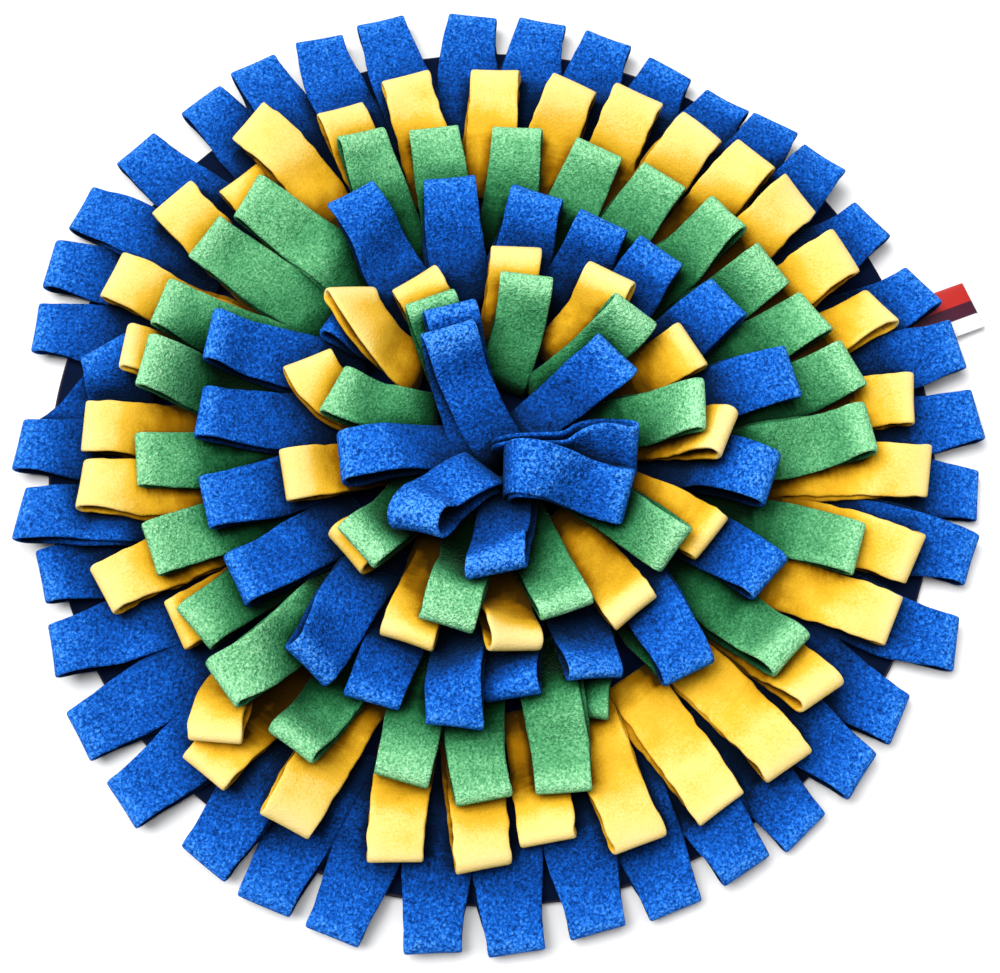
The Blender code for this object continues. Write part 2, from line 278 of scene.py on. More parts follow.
canvas, canvas_shader, wire = finish_of("navy_canvas", roughness=0.85, Specular_IOR_Level=0.05)
place = wire.add("ShaderNodeTexCoord", output=3)
split = wire.add("ShaderNodeSeparateXYZ", {}, {0: place})
turns = math.tau / CANVAS_PITCH
warp = wire.maths("SINE", split * turns)
weft = wire.maths("SINE", Wire(wire.tree, split.socket.node.outputs[1]) * turns)
weave = (warp * weft) * 0.5 + 0.5
cloud = place.noise(CANVAS_CLOUDS, detail=3.0)
radius = wire.add("ShaderNodeVectorMath", {"operation": "LENGTH"}, {0: place}, output=1)
cut_edge = radius.over((BASE_RADIUS - CUT_FROM) * MM, (BASE_RADIUS - CUT_FULL) * MM)
tone = (weave * WEAVE_TONE + cloud * CLOUD_TONE).over(*TONE_RANGE)
canvas_colour = cut_edge.mix(tone.mix(CANVAS_DARK, CANVAS_LIGHT), CANVAS_EDGE)
canvas.node_tree.links.new(canvas_colour.socket, canvas_shader["Base Color"])
grain = wire.add("ShaderNodeBump", {}, {
    "Strength": 0.5, "Distance": CANVAS_RELIEF, "Height": weave + cloud * CLOUD_RELIEF})
canvas.node_tree.links.new(grain.socket, canvas_shader["Normal"])

base_work = bmesh.new()
bmesh.ops.create_cone(base_work, cap_ends=True, segments=BASE_SIDES, radius1=BASE_RADIUS * MM,
                      radius2=BASE_RADIUS * MM, depth=BASE_THICK * MM)
bmesh.ops.translate(base_work, vec=(0.0, 0.0, BASE_THICK / 2.0 * MM), verts=base_work.verts)
slow, quick = EDGE_WAVES
for vert in base_work.verts:
    bearing = math.atan2(vert.co.x, vert.co.y)
    wander = EDGE_WANDER * math.sin(slow * bearing + EDGE_PHASE) * math.sin(quick * bearing) / BASE_RADIUS
    vert.co.x *= 1.0 + wander
    vert.co.y *= 1.0 + wander
rim = [edge for edge in base_work.edges
       if abs(edge.verts[0].co.z - edge.verts[1].co.z) < BASE_THICK / 2.0 * MM]
bmesh.ops.bevel(base_work, geom=rim, offset=BASE_BEVEL * MM, segments=BASE_BEVEL_STEPS, affect="EDGES",
                profile=0.5, material=-1)
base_cloth = piece_of("base_cloth", base_work, canvas)
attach(base_cloth, "root")
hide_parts("backing")
laid = Relief()


# ---------------------------------------------------------------- Side label
# A folded satin ribbon, sewn between the base cloth and the outer loops. It is left without any writing:
# a red band, a narrow plum band and a pale band run along it to the fold at its outer end.

LABEL_BEARING = 71.0
LABEL_TURN = -5.0
LABEL_WIDTH = 25.0
LABEL_INNER = 201.0             # from the mat's middle to the sewn end
LABEL_OUTER = 248.5             # and to the fold
LABEL_LIFT = 0.35
LABEL_DROOP = 1.2               # how far the fold hangs down towards the floor
RIBBON_THICK = 0.35
RIBBON_GAP = 0.15               # air between the two layers by the seam
RIBBON_OPEN = 0.25              # and how much more of it there is at the fold
RIBBON_NOSE = 0.3               # how far the fold stands out past the layers
RIBBON_CURL = 0.25              # how much its long edges curl up
RIBBON_STOPS = 14
RIBBON_PROFILE = np.array([-1.0, -0.9, -0.5, 0.0, 0.5, 0.9, 1.0])
RIBBON_THREADS = 900.0          # radians of rib across its width
RIBBON_RELIEF = 0.0001          # metres
PLUM_FROM = 0.37                # shares of the ribbon's width where its bands begin
RED_FROM = 0.56
BAND_BLUR = 0.01
RIBBON_RED = (0.50, 0.018, 0.012)
RIBBON_PLUM = (0.06, 0.004, 0.022)
RIBBON_PALE = (0.80, 0.81, 0.84)


def compass(bearing):
    """Unit vector in plan along a bearing, clockwise from +Y."""
    return np.array([math.sin(math.radians(bearing)), math.cos(math.radians(bearing)), 0.0])


def across_of(ahead):
    """Unit vector in plan to the right of a heading."""
    return np.stack([ahead[..., 1], -ahead[..., 0], np.zeros(ahead.shape[:-1])], axis=-1)


def sheet_grid(work, sheet, along=None):
    """Lay a grid of quads on rows of points; its UV map runs along and across the sheet.

    Given a value for each row, the map holds that instead of the row's share of the length."""
    rows, columns = sheet.shape[0] - 1, sheet.shape[1] - 1
    made = bmesh.ops.create_grid(work, x_segments=rows, y_segments=columns, size=1.0, calc_uvs=True)
    for vert in made["verts"]:
        row = round((vert.co.x + 1.0) / 2.0 * rows)
        column = round((vert.co.y + 1.0) / 2.0 * columns)
        vert.co = sheet[row, columns - column] * MM
        if along is not None:
            for corner in vert.link_loops:
                corner[work.loops.layers.uv.active].uv = (along[row], column / columns)


def thicken(made, thick, levels):
    """Give a sheet its thickness and soften its cut edges."""
    solid = made.modifiers.new("thickness", "SOLIDIFY")
    solid.thickness = thick * MM
    solid.offset = 0.0
    solid.use_even_offset = True
    soft = made.modifiers.new("softness", "SUBSURF")
    soft.levels = levels
    soft.render_levels = levels


ribbon, ribbon_shader, wire = finish_of("satin_ribbon", roughness=0.35, Sheen_Weight=0.2)
span = wire.add("ShaderNodeSeparateXYZ", {}, {0: wire.add("ShaderNodeTexCoord", output=2)})
band = Wire(wire.tree, span.socket.node.outputs[1])
threads = wire.maths("SINE", band * RIBBON_THREADS) * 0.5 + 0.5
below_red = band.over(PLUM_FROM, PLUM_FROM + BAND_BLUR).mix(RIBBON_PALE, RIBBON_PLUM)
colour = band.over(RED_FROM, RED_FROM + BAND_BLUR).mix(below_red, RIBBON_RED)
ribbon.node_tree.links.new(colour.socket, ribbon_shader["Base Color"])
rib = wire.add("ShaderNodeBump", {}, {"Strength": 0.3, "Distance": RIBBON_RELIEF, "Height": threads})
ribbon.node_tree.links.new(rib.socket, ribbon_shader["Normal"])

label_ahead = compass(LABEL_BEARING + LABEL_TURN)
label_middle = compass(LABEL_BEARING) * (LABEL_INNER + LABEL_OUTER) / 2.0
label_half = (LABEL_OUTER - LABEL_INNER) / 2.0
share = np.linspace(-1.0, 1.0, RIBBON_STOPS)
layer_z = BASE_THICK + LABEL_LIFT + RIBBON_THICK / 2.0
droop = LABEL_DROOP * np.clip(share, 0.0, 1.0) ** 2
lower = label_middle + label_ahead * (share * label_half)[:, None]
lower[:, 2] = layer_z - droop
upper = lower[::-1].copy()
upper[:, 2] += RIBBON_THICK + RIBBON_GAP + RIBBON_OPEN * np.clip(share[::-1], 0.0, 1.0)
fold = (lower[-1] + upper[0]) / 2.0 + label_ahead * RIBBON_NOSE
line = np.vstack([lower, fold, upper])
flat = np.zeros_like(RIBBON_PROFILE)
curl = np.stack([flat, flat, RIBBON_CURL * RIBBON_PROFILE ** 2], axis=-1)
sideways = across_of(label_ahead) * (RIBBON_PROFILE * LABEL_WIDTH / 2.0)[:, None]
label_sheet = line[:, None, :] + sideways + curl
label_work = bmesh.new()
label_work.loops.layers.uv.new("ribbon")
sheet_grid(label_work, label_sheet)
side_label = piece_of("side_label", label_work, ribbon)
thicken(side_label, RIBBON_THICK, levels=1)
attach(side_label, "root")
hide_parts("label")
laid.cover(label_sheet, RIBBON_THICK)


# ---------------------------------------------------------------- Row 1: outer blue loops
# Forty strips of blue fleece, folded back on themselves and caught at both ends in one ring of
# stitching. They lie outwards over the base cloth's edge, each one partly on the next.

FLEECE_THICK = 2.0
BODY_GAP = 0.3                  # air between a loop's two layers along most of its length
TIP_GAP = 5.5                   # and where the fleece turns back at the tip
BULB = 17.0                     # length of the rounder part at the tip
CLEARANCE = 0.2                 # between a loop and what it rests on
ROOT_HEIGHT = 6.0               # of the stitches at a loop's root
ROOT_SPREAD = 1.5               # from the stitches to the middle of each layer
SEAM_TOP = 8.7                  # the sewn roots of a ring fill it up to this height
SEAM_WIDTH = 6.0
SEWN_LEAST = 4.2                # no point of a layer is lower than this near its seam
SEWN_SHARE = 0.35               # share of a loop's length where that holds
SEAM_ZONE = 0.15                # share of it that rises from the seam to what lies there
KNEE = 0.5                      # share of it that follows the heading of its tip
CREST_STEP = 1.2                # every other loop of a ring crests this much higher
CREST_SHARE = 0.7               # share of a loop's length that its crest takes
CREST_ROUND = 0.7               # power that rounds the crest
SPOTS_ALONG = 61                # places where a loop's rest on what lies below is felt
SPOTS_ACROSS = 27
SPINE_STOPS = 121               # and places where its length is measured
STEP = 3.0                      # spacing of a loop's rows of points
FOLD_SCALE = 100.0              # the fleece's UV map counts this many millimetres from the fold as 1
VALLEY_BEND = 0.025             # how sharply folded fleece sinks into a hollow, per millimetre
RIDGE_BEND = 0.07               # and how sharply it turns down over an edge
LINE_BLUR = 2.5                 # length over which that line is softened
LEAN_SHARE = 0.95               # how much of the slope under it a loop follows
LEAN_MOST = math.radians(25.0)
LEAN_BLUR = 7.0
LEAN_STARTS = 0.35              # shares of the length where a loop has its whole lean
ROLL_ENDS = 0.8                 # and an odd loop its whole roll
WAVE_HIGH = 0.9
WAVE_TURNS = 1.7                # waves along a loop
WAVE_ACROSS = 1.5               # how far a wave has turned from the middle of a loop to its edge
FLAT_SHARE = 0.4                # share of the length over which cup and wave set in
CUP_MIDDLE = 0.3                # share of the cup by which its middle sinks
FLANK_PLACE = 0.75              # where along a loop an edge stands up most
FLANK_LENGTH = 0.35
FLANK_ROUND = 1.5               # power that rounds the raised edge
TIP_SHARE = 0.5                 # share of the length that has the width and slant of the tip
GAP_RANGE = (0.5, 1.3)          # what the draws for a loop lie between: its open fold, as a share
SLANT_RANGE = (-4.0, 4.0)       # slant of the fold in degrees
FLANK_RANGE = (-3.5, 3.5)       # height of the raised edge, and on which side it is
SKEW_RANGE = (-5.0, 5.0)        # sideways step of the lower layer's root
CUP_RANGE = (-0.9, 0.5)         # height of the cup
LIFT_RANGE = (0.0, 1.5)         # how far the tip stands off what lies below
PROFILE = np.array([-1.0, -0.86, 0.0, 0.86, 1.0])
NOSE_ANGLES = np.radians([-60.0, -30.0, 0.0, 30.0, 60.0])

# A loop is given by its tip's bearing and reach from the middle and its turn off the radius there, and
# by its root's bearing and reach where the root isn't in its even place in the ring.
Loop = namedtuple("Loop", "bearing reach turn root_bearing root_reach", defaults=(None, None))
# An odd loop has its own open fold, roll at its tip and root, lift, raised flank, skew, cup or slant.
Odd = namedtuple("Odd", "gap bulb roll root_roll lift flank skew cup slant",
                 defaults=(TIP_GAP, BULB, 0.0, 0.0, None, None, None, None, 0.0))
# A ring's loops feel their own neighbours from the share own_from of their length on, crest at a height
# near their seam, and are wider there by the share spread. Late loops are laid over both neighbours.
Ring = namedtuple("Ring", "root_radius own_from first_root crest width spread edge_wander odd loops late",
                  defaults=((),))


def loops(*columns):
    """Loops of one ring, each given as its tip's bearing, its reach and its turn off the radius."""
    return [Loop(*column) for column in columns]


def plan_of(ring, place):
    """Function from a share of a loop's length to its place and heading in plan, and that length."""
    loop = ring.loops[place]
    root = ring.root_radius * compass(ring.first_root + place * 360.0 / len(ring.loops))
    if loop.root_reach is not None:
        root = loop.root_reach * compass(loop.root_bearing)
    tip = loop.reach * compass(loop.bearing)
    length = np.linalg.norm(tip - root)
    knee = tip - KNEE * length * compass(loop.bearing + loop.turn)

    def at(share):
        share = np.asarray(share)[..., None]
        spot = (1 - share) ** 2 * root + 2 * share * (1 - share) * knee + share ** 2 * tip
        ahead = 2 * (1 - share) * (knee - root) + 2 * share * (tip - knee)
        return spot, ahead / np.linalg.norm(ahead, axis=-1, keepdims=True)

    return at, length


def smooth_step(value):
    """Soft rise from 0 to 1 as the value goes from 0 to 1."""
    value = np.clip(value, 0.0, 1.0)
    return value * value * (3.0 - 2.0 * value)


def lean_of(ring, odd, share, bed, apart):
    """How far a loop leans about its own line: what it lies on tips it, and an odd one is turned too.

    The bed's two outer thirds are compared, whose middles are two thirds of the loop's width apart."""
    third = bed.shape[1] // 3
    rise = bed[:, -third:].max(axis=1) - bed[:, :third].max(axis=1)
    tipped = LEAN_SHARE * np.arctan2(rise, ring.width * 2.0 / 3.0)
    tipped = np.clip(tipped, -LEAN_MOST, LEAN_MOST) * smooth_step(share / LEAN_STARTS)
    blur = np.exp(-0.5 * (apart / LEAN_BLUR) ** 2)
    tipped = blur @ tipped / blur.sum(axis=1)
    rolled = odd.root_roll + (odd.roll - odd.root_roll) * smooth_step(share / ROLL_ENDS)
    return tipped + np.radians(rolled)


def resting_line(ring, place, at, length, odd, relief):
    """Shares of a loop's length, the heights of its underside there, and how far it leans there.

    It bridges hollows and turns down over edges in soft curves."""
    share = np.linspace(0.0, 1.0, SPOTS_ALONG)
    apart = (share[:, None] - share[None, :]) * length
    spot, ahead = at(share)
    across = np.linspace(-0.5, 0.5, SPOTS_ACROSS)[None, :] * ring.width
    own_ring = (share >= ring.own_from)[:, None]
    side = across_of(ahead)[:, None, :]
    places = spot[:, None, :] + side * across[..., None]
    lean = lean_of(ring, odd, share, relief.under(places, own_ring), apart)
    places = spot[:, None, :] + side * (across * np.cos(lean)[:, None])[..., None]
    needed = relief.under(places, own_ring) + CLEARANCE - across * np.sin(lean)[:, None]
    needed = needed.max(axis=1)
    root = ROOT_HEIGHT - ROOT_SPREAD - FLEECE_THICK / 2.0
    rise = np.clip(share / SEAM_ZONE, 0.0, 1.0)
    needed = np.where(share < SEAM_ZONE, root + (needed - root) * rise, needed)
    arch = np.sin(math.pi * np.clip(share / CREST_SHARE, 0.0, 1.0)) ** CREST_ROUND
    needed = np.maximum(needed, (ring.crest + place % 2 * CREST_STEP) * arch)
    hump = (needed[None, :] - RIDGE_BEND * apart ** 2).max(axis=1)
    hump = (hump[None, :] - VALLEY_BEND * apart ** 2).max(axis=1)
    line = (hump[None, :] + VALLEY_BEND * apart ** 2).min(axis=1)
    line[0] = root
    blur = np.exp(-0.5 * (apart / LINE_BLUR) ** 2)
    return share, blur @ line / blur.sum(axis=1), lean


def chosen_or_drawn(value, chance, span):
    """The value that is chosen for an odd loop, or else a draw."""
    return chance.uniform(*span) if value is None else value


def fold_loop(ring, place, seed, relief):
    """Rows of points on a loop's fleece: out along the lower layer, round the fold, back along the upper."""
    chance = np.random.default_rng([seed, place])
    usual = Odd(gap=TIP_GAP * chance.uniform(*GAP_RANGE), slant=chance.uniform(*SLANT_RANGE))
    odd = ring.odd.get(place, usual)
    flank = chosen_or_drawn(odd.flank, chance, FLANK_RANGE)
    skew = chosen_or_drawn(odd.skew, chance, SKEW_RANGE)
    cup = chosen_or_drawn(odd.cup, chance, CUP_RANGE)
    phase = chance.uniform(0.0, math.tau, 2)
    lift = chosen_or_drawn(odd.lift, chance, LIFT_RANGE)
    at, length = plan_of(ring, place)
    nose = (odd.gap + FLEECE_THICK) / 2.0
    body = 1.0 - (nose + FLEECE_THICK / 2.0) / length
    share, height, leaning = resting_line(ring, place, at, length, odd, relief)

    fine = np.linspace(0.0, body, SPINE_STOPS)
    spine = at(fine)[0]
    spine[:, 2] = np.interp(fine, share, height) + lift * smooth_step(fine / body)
    arc = np.concatenate([[0.0], np.cumsum(np.linalg.norm(np.diff(spine, axis=0), axis=1))])
    stops = np.interp(np.linspace(0.0, arc[-1], math.ceil(arc[-1] / STEP) + 1), arc, fine)
    spot, ahead = at(stops)
    spot[:, 2] = np.interp(stops, fine, spine[:, 2])
    out = stops / body
    tangent = np.gradient(spot, axis=0)
    tangent /= np.linalg.norm(tangent, axis=1, keepdims=True)
    side = across_of(ahead)
    normal = np.cross(side, tangent)
    lean = np.interp(stops, share, leaning)[:, None]
    side, normal = (side * np.cos(lean) + normal * np.sin(lean),
                    normal * np.cos(lean) - side * np.sin(lean))

    to_tip = (1.0 - out) * arc[-1]
    gap = BODY_GAP + (odd.gap - BODY_GAP) * np.exp(-(to_tip / odd.bulb) ** 2)
    lower = spot + normal * FLEECE_THICK / 2.0
    upper = lower + normal * (FLEECE_THICK + gap)[:, None]
    lower[0] = [*spot[0, :2], ROOT_HEIGHT] - normal[0] * ROOT_SPREAD
    upper[0] = [*spot[0, :2], ROOT_HEIGHT] + normal[0] * ROOT_SPREAD

    def layer(middle, shift, lift_side):
        """One layer across its width, cupped, a little wavy and with cut edges that wander."""
        by_tip = smooth_step((out - (1.0 - TIP_SHARE)) / TIP_SHARE)
        set_in = smooth_step(out / FLAT_SHARE)[:, None]
        half = ring.width / 2.0 * PROFILE * (1.0 + ring.spread * (1.0 - by_tip))[:, None]
        wander = chance.normal(0.0, ring.edge_wander, (len(middle), 2))
        half[:, 0] += wander[:, 0]
        half[:, -1] += wander[:, 1]
        along_wave = np.sin(math.tau * out * WAVE_TURNS + phase[0])[:, None]
        wave = WAVE_HIGH * along_wave * np.cos(phase[1] + WAVE_ACROSS * PROFILE)
        bow = cup * set_in * (PROFILE ** 2 - CUP_MIDDLE)
        edge_up = np.clip(np.sign(flank) * PROFILE, 0.0, 1.0) ** FLANK_ROUND
        stands = lift_side * np.exp(-((out - FLANK_PLACE) / FLANK_LENGTH) ** 2)[:, None] * edge_up
        raised = bow + wave * set_in + stands
        ahead_by = half * math.tan(math.radians(odd.slant)) * by_tip[:, None]
        return (middle[:, None, :] + side[:, None, :] * (half + shift[:, None])[..., None]
                + normal[:, None, :] * raised[..., None] + tangent[:, None, :] * ahead_by[..., None])

    low_sheet = layer(lower, skew * (1.0 - out), 0.0)
    high_sheet = layer(upper, np.zeros_like(out), abs(flank))
    for sewn in (low_sheet, high_sheet):
        sewn[out < SEWN_SHARE, :, 2] = np.maximum(sewn[out < SEWN_SHARE, :, 2], SEWN_LEAST)
    low_end, high_end = low_sheet[-1], high_sheet[-1]
    middle = (low_end + high_end) / 2.0
    off_fold = to_tip / FOLD_SCALE
    reach = np.linalg.norm(high_end - low_end, axis=-1)[:, None] / 2.0
    up = (high_end - low_end) / (2.0 * reach)
    nose_rows = [middle + (tangent[-1] * math.cos(angle) + up * math.sin(angle)) * reach
                 for angle in NOSE_ANGLES]
    off_fold = np.concatenate([off_fold, np.zeros(len(nose_rows)), off_fold[::-1]])
    sheet = np.concatenate([low_sheet, np.array(nose_rows), high_sheet[::-1]])
    return sheet, off_fold, 2.0 * arc[-1] + math.pi * nose


SPREAD_MEAN = 0.75              # share of the extra width at the seam that a strip has on average


def ring_of_loops(name, ring, seed, finish, node):
    """All loops of a ring as one piece, laid clockwise over what is already there, the late ones last."""
    work = bmesh.new()
    work.loops.layers.uv.new("fleece")
    laid.start_ring()
    fleece_used = 0.0
    in_turn = [place for place in range(len(ring.loops)) if place not in ring.late]
    for place in [*in_turn, *ring.late]:
        sheet, off_fold, fleece = fold_loop(ring, place, seed, laid)
        sheet_grid(work, sheet, off_fold)
        laid.cover(sheet, FLEECE_THICK)
        fleece_used += fleece
    seam = np.abs(laid.radius - ring.root_radius) < SEAM_WIDTH / 2.0 + laid.CELL
    laid.height[seam] = np.maximum(laid.height[seam], SEAM_TOP)
    made = piece_of(name, work, finish)
    thicken(made, FLEECE_THICK, levels=1)
    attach(made, "root")
    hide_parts(node)
    cut_length = round(fleece_used * MM, 2)
    cut_width = ring.width * (1.0 + max(ring.spread, 0.0)) * MM
    cut_area = ring.width * (1.0 + SPREAD_MEAN * ring.spread) * MM * cut_length
    return made


CROWN_LIGHT_HEIGHTS = (0.032, 0.050)      # metres above the floor over which painted light at the centre rises to its full
FOLD_REACH = 0.11               # how far from the fold its painted highlight reaches, in the UV map's count
FOLD_HIGHLIGHT = 0.14               # what the painted highlight over the fold adds to the pile's tone
CROWN_PAINTED_LIGHT = 0.11              # and what painted light at the height of the centre adds
PAINTED_SHADE_DARK = 0.98             # and what full painted shade takes away
OPEN_LIGHT = 0.66               # lightness of open, level fleece
CROWN_LIGHT_GRAIN = 0.2               # how much stronger the pebbles are at the centre, as part of its painted light
PATCH_SCALE = 55.0              # paler and darker patches to a metre
CLUMPS = 1.1                    # clumps of matted pile along a pebble
CLUMP_RANGE = (0.3, 0.7)        # their noise where the pile lies low and where it stands
CLUMP_RISE = 0.55               # and how much it stands up there
PEBBLE_RANGE = (0.2, 1.3)       # distances from a pebble's middle, in pebbles, where it falls off
PEBBLE_FALL = 0.45              # and how far it falls
PILE_LEVEL = 0.40               # height of the pile where it does neither
PILE_RELIEF = 0.001             # metres that a height of 1 stands for


def fleece_finish(name, pebble, grain, stops, patches, sheen_tint, bump):
    """Brushed fleece, matted in pebbles, with painted light and shade: a painted highlight where it turns
    over the fold, painted light that grows with height at the centre, and painted shade deepest down between
    loops.

    pebble is their size in metres, grain and patches are how much they change the tone, and stops are
    the colours from the darkest tone to the lightest; the painted light and shade move the tone along them."""
    made, shader, wire = finish_of(name, roughness=0.95, Specular_IOR_Level=0.05, Sheen_Weight=0.10,
                                   Sheen_Roughness=0.4, Sheen_Tint=sheen_tint)
    place = wire.add("ShaderNodeTexCoord", output=3)
    off_fold = wire.add("ShaderNodeSeparateXYZ", {}, {0: wire.add("ShaderNodeTexCoord", output=2)})
    # Painted shade: the value marked on each point by how much its surroundings rise above it.
    shelter = wire.add("ShaderNodeAttribute", {"attribute_name": "shelter"}, output=2)
    pebbles = wire.add("ShaderNodeTexVoronoi", {"feature": "F1"}, {
        "Vector": place, "Scale": 1.0 / pebble, "Detail": 1.0, "Roughness": 0.6, "Lacunarity": 2.3})
    clumps = place.noise(CLUMPS / pebble, detail=1.5, roughness=0.6, distortion=0.6)
    patch = place.noise(PATCH_SCALE, detail=2.0)
    stands = clumps.over(*CLUMP_RANGE) * CLUMP_RISE
    pile = stands - pebbles.over(*PEBBLE_RANGE) * PEBBLE_FALL + PILE_LEVEL
    # Painted light and shade: a painted highlight over the fold, painted light growing with height at the
    # centre, and painted shade where loops rise round the fleece.
    fold_highlight = 1.0 - off_fold.over(0.0, FOLD_REACH)
    height = wire.add("ShaderNodeSeparateXYZ", {}, {0: place}, output=2)
    crown_painted_light = height.over(*CROWN_LIGHT_HEIGHTS)
    lit = fold_highlight * fold_highlight * FOLD_HIGHLIGHT + crown_painted_light * CROWN_PAINTED_LIGHT - shelter * PAINTED_SHADE_DARK + OPEN_LIGHT
    # The pebbles show stronger at the centre, as part of the painted light there.
    pebbled = (pile - 0.5) * (crown_painted_light * CROWN_LIGHT_GRAIN + 1.0) * grain + 1.0
    tone = pebbled * lit + (patch - 0.5) * patches
    colour = wire.add("ShaderNodeValToRGB", {"stops": stops}, {0: tone})
    made.node_tree.links.new(colour.socket, shader["Base Color"])
    nap = wire.add("ShaderNodeBump", {}, {"Strength": bump, "Distance": PILE_RELIEF, "Height": pile})
    made.node_tree.links.new(nap.socket, shader["Normal"])
    return made


blue_fleece = fleece_finish(
    "blue_fleece", pebble=0.0015, grain=1.1, patches=0.12, sheen_tint=(0.1, 0.45, 1.0, 1.0),
    bump=1.0, stops=[
        (0.0, (0.001, 0.004, 0.012)), (0.2, (0.002, 0.013, 0.055)), (0.4, (0.003, 0.048, 0.26)),
        (0.6, (0.006, 0.107, 0.57)), (0.8, (0.026, 0.225, 0.88)), (1.0, (0.11, 0.39, 1.0))])

ring_pieces = []
OUTER_BLUE = Ring(
    root_radius=157.0, own_from=0.35, first_root=355.0, crest=5.5, width=25.0,
    spread=0.26, edge_wander=0.12, late=(31,),
    odd={
        31: Odd(gap=5.0, flank=0.0, skew=-26.0, lift=4.0),
    }, loops=loops(
        (355, 230, 14), (4, 229, 9), (13, 225, 9), (22, 220, 5), (31, 217, 6), (38, 219, -7),
        (46, 221, -5), (56, 222, -9), (67, 226, -16), (75, 231, -8), (84, 233, -13), (94, 231, 3),
        (102, 230, 5), (112, 233, -15), (123, 226, -8), (131, 227, -7), (140, 228, -5), (148, 226, -3),
        (157, 228, -1), (166, 227, 0), (175, 231, -8), (184, 232, -8), (195, 235, 6), (203, 234, -2),
        (211, 232, 2), (222, 236, 8), (231, 232, 7), (241, 224, 10), (250, 219, 5), (258, 222, 16),
        (267, 225, 3), (281, 190, 45, 270, 177), (282, 230, -12), (290, 236, -14), (298, 238, -5),
        (308, 237, 6), (318, 234, -6), (326, 236, 3), (335, 234, 13), (343, 234, -2)))
ring_pieces.append(ring_of_loops(
    "outer_blue_loops", OUTER_BLUE, seed=1, finish=blue_fleece,
    node="row_1_blue"))


# ---------------------------------------------------------------- Row 2: outer yellow loops
# Thirty-three strips of yellow fleece with a flat, felted pile and cut edges that are a little ragged.
# They are sewn in a ring inside the first and lie on its loops.

yellow_fleece = fleece_finish(
    "yellow_fleece", pebble=0.0011, grain=0.30, patches=0.26, sheen_tint=(1.0, 0.9, 0.5, 1.0),
    bump=0.3, stops=[
        (0.0, (0.05, 0.022, 0.0005)), (0.16, (0.30, 0.13, 0.001)), (0.36, (0.70, 0.38, 0.016)),
        (0.51, (0.89, 0.51, 0.042)), (0.66, (0.96, 0.70, 0.19)), (0.95, (1.0, 0.79, 0.37))])

OUTER_YELLOW = Ring(
    root_radius=127.0, own_from=0.35, first_root=356.0, crest=9.0, width=24.5,
    spread=0.06, edge_wander=0.42,
    odd={
        21: Odd(gap=3.0, root_roll=-75.0, flank=0.0, skew=0.0),
        26: Odd(gap=2.5, flank=0.0),
    }, loops=loops(
        (358, 193, 3), (10, 188, 14), (20, 190, 3), (31, 187, 10), (40, 191, 3), (48, 192, -3),
        (59, 194, -3), (69, 199, -6), (82, 201, 4), (92, 204, -3), (104, 204, 5), (113, 202, -7),
        (128, 192, 12), (137, 200, 4), (147, 198, -3), (159, 196, -1), (170, 187, 0), (179, 196, -7),
        (190, 197, -14), (205, 199, 4), (217, 201, 2), (218, 187, -38), (236, 171, 6), (245, 193, -8),
        (260, 193, 10), (269, 192, 1), (280, 178, -6), (291, 200, 1), (305, 198, 10), (314, 184, 0),
        (321, 202, -10), (333, 187, 0), (344, 195, -4)))
ring_pieces.append(ring_of_loops(
    "outer_yellow_loops", OUTER_YELLOW, seed=2, finish=yellow_fleece,
    node="row_2_yellow"))


# ---------------------------------------------------------------- Row 3: outer green loops
# Twenty-six strips of green fleece with the same pebbled pile as the blue. They are sewn in the third
# ring and lie on the yellow loops.

green_fleece = fleece_finish(
    "green_fleece", pebble=0.0013, grain=0.75, patches=0.12, sheen_tint=(0.5, 1.0, 0.6, 1.0),
    bump=1.0, stops=[
        (0.0, (0.001, 0.010, 0.003)), (0.15, (0.004, 0.052, 0.016)), (0.31, (0.020, 0.15, 0.051)),
        (0.475, (0.065, 0.31, 0.124)), (0.645, (0.165, 0.54, 0.235)), (0.88, (0.42, 0.90, 0.49))])

OUTER_GREEN = Ring(
    root_radius=98.0, own_from=0.35, first_root=0.0, crest=12.0, width=25.0,
    spread=0.08, edge_wander=0.12,
    odd={
        21: Odd(gap=2.5, roll=12.0, flank=0.0),
    }, loops=loops(
        (2, 160, 0), (17, 158, 5), (30, 158, 6), (44, 160, 2), (55, 161, -7), (66, 167, -10),
        (76, 175, -14), (87, 178, -10), (106, 177, 4), (126, 172, 6), (139, 134, 0), (161, 137, 22),
        (167, 168, 9), (179, 168, -16), (192, 164, -1), (209, 172, 6), (222, 167, 6), (233, 164, -7),
        (248, 167, 0), (263, 167, 3), (278, 166, 3), (289, 171, -3), (303, 173, 1), (312, 170, -13),
        (334, 169, 1), (347, 163, 3)))
ring_pieces.append(ring_of_loops(
    "outer_green_loops", OUTER_GREEN, seed=3, finish=green_fleece,
    node="row_3_green"))


# ---------------------------------------------------------------- Row 4: middle blue loops
# Twenty strips of the blue fleece, folded and sewn in the same way as the fourth ring. One of them
# stands wide open on its side.

MIDDLE_BLUE = Ring(
    root_radius=70.0, own_from=0.35, first_root=347.0, crest=14.0, width=25.5,
    spread=0.1, edge_wander=0.12,
    odd={
        6: Odd(gap=12.0, bulb=40.0, roll=22.0, flank=0.0, cup=-1.0),
    }, loops=loops(
        (348, 131, 8), (8, 124, 6), (24, 121, -2), (39, 123, -9), (57, 131, -12), (76, 142, -6),
        (99, 130, 10), (117, 144, 11), (140, 141, 16), (157, 125, 8), (173, 125, -6), (185, 136, -4),
        (201, 137, -4), (215, 140, -3), (236, 138, 3), (253, 138, 1), (271, 139, 2), (286, 143, -8),
        (304, 98, 0), (328, 137, 6)))
ring_pieces.append(ring_of_loops(
    "middle_blue_loops", MIDDLE_BLUE, seed=4, finish=blue_fleece,
    node="row_4_blue"))


# ---------------------------------------------------------------- Row 5: middle yellow loops
# Thirteen strips of the yellow fleece, sewn as the fifth ring. Two of them stand open, so that the
# inside of the fold shows.

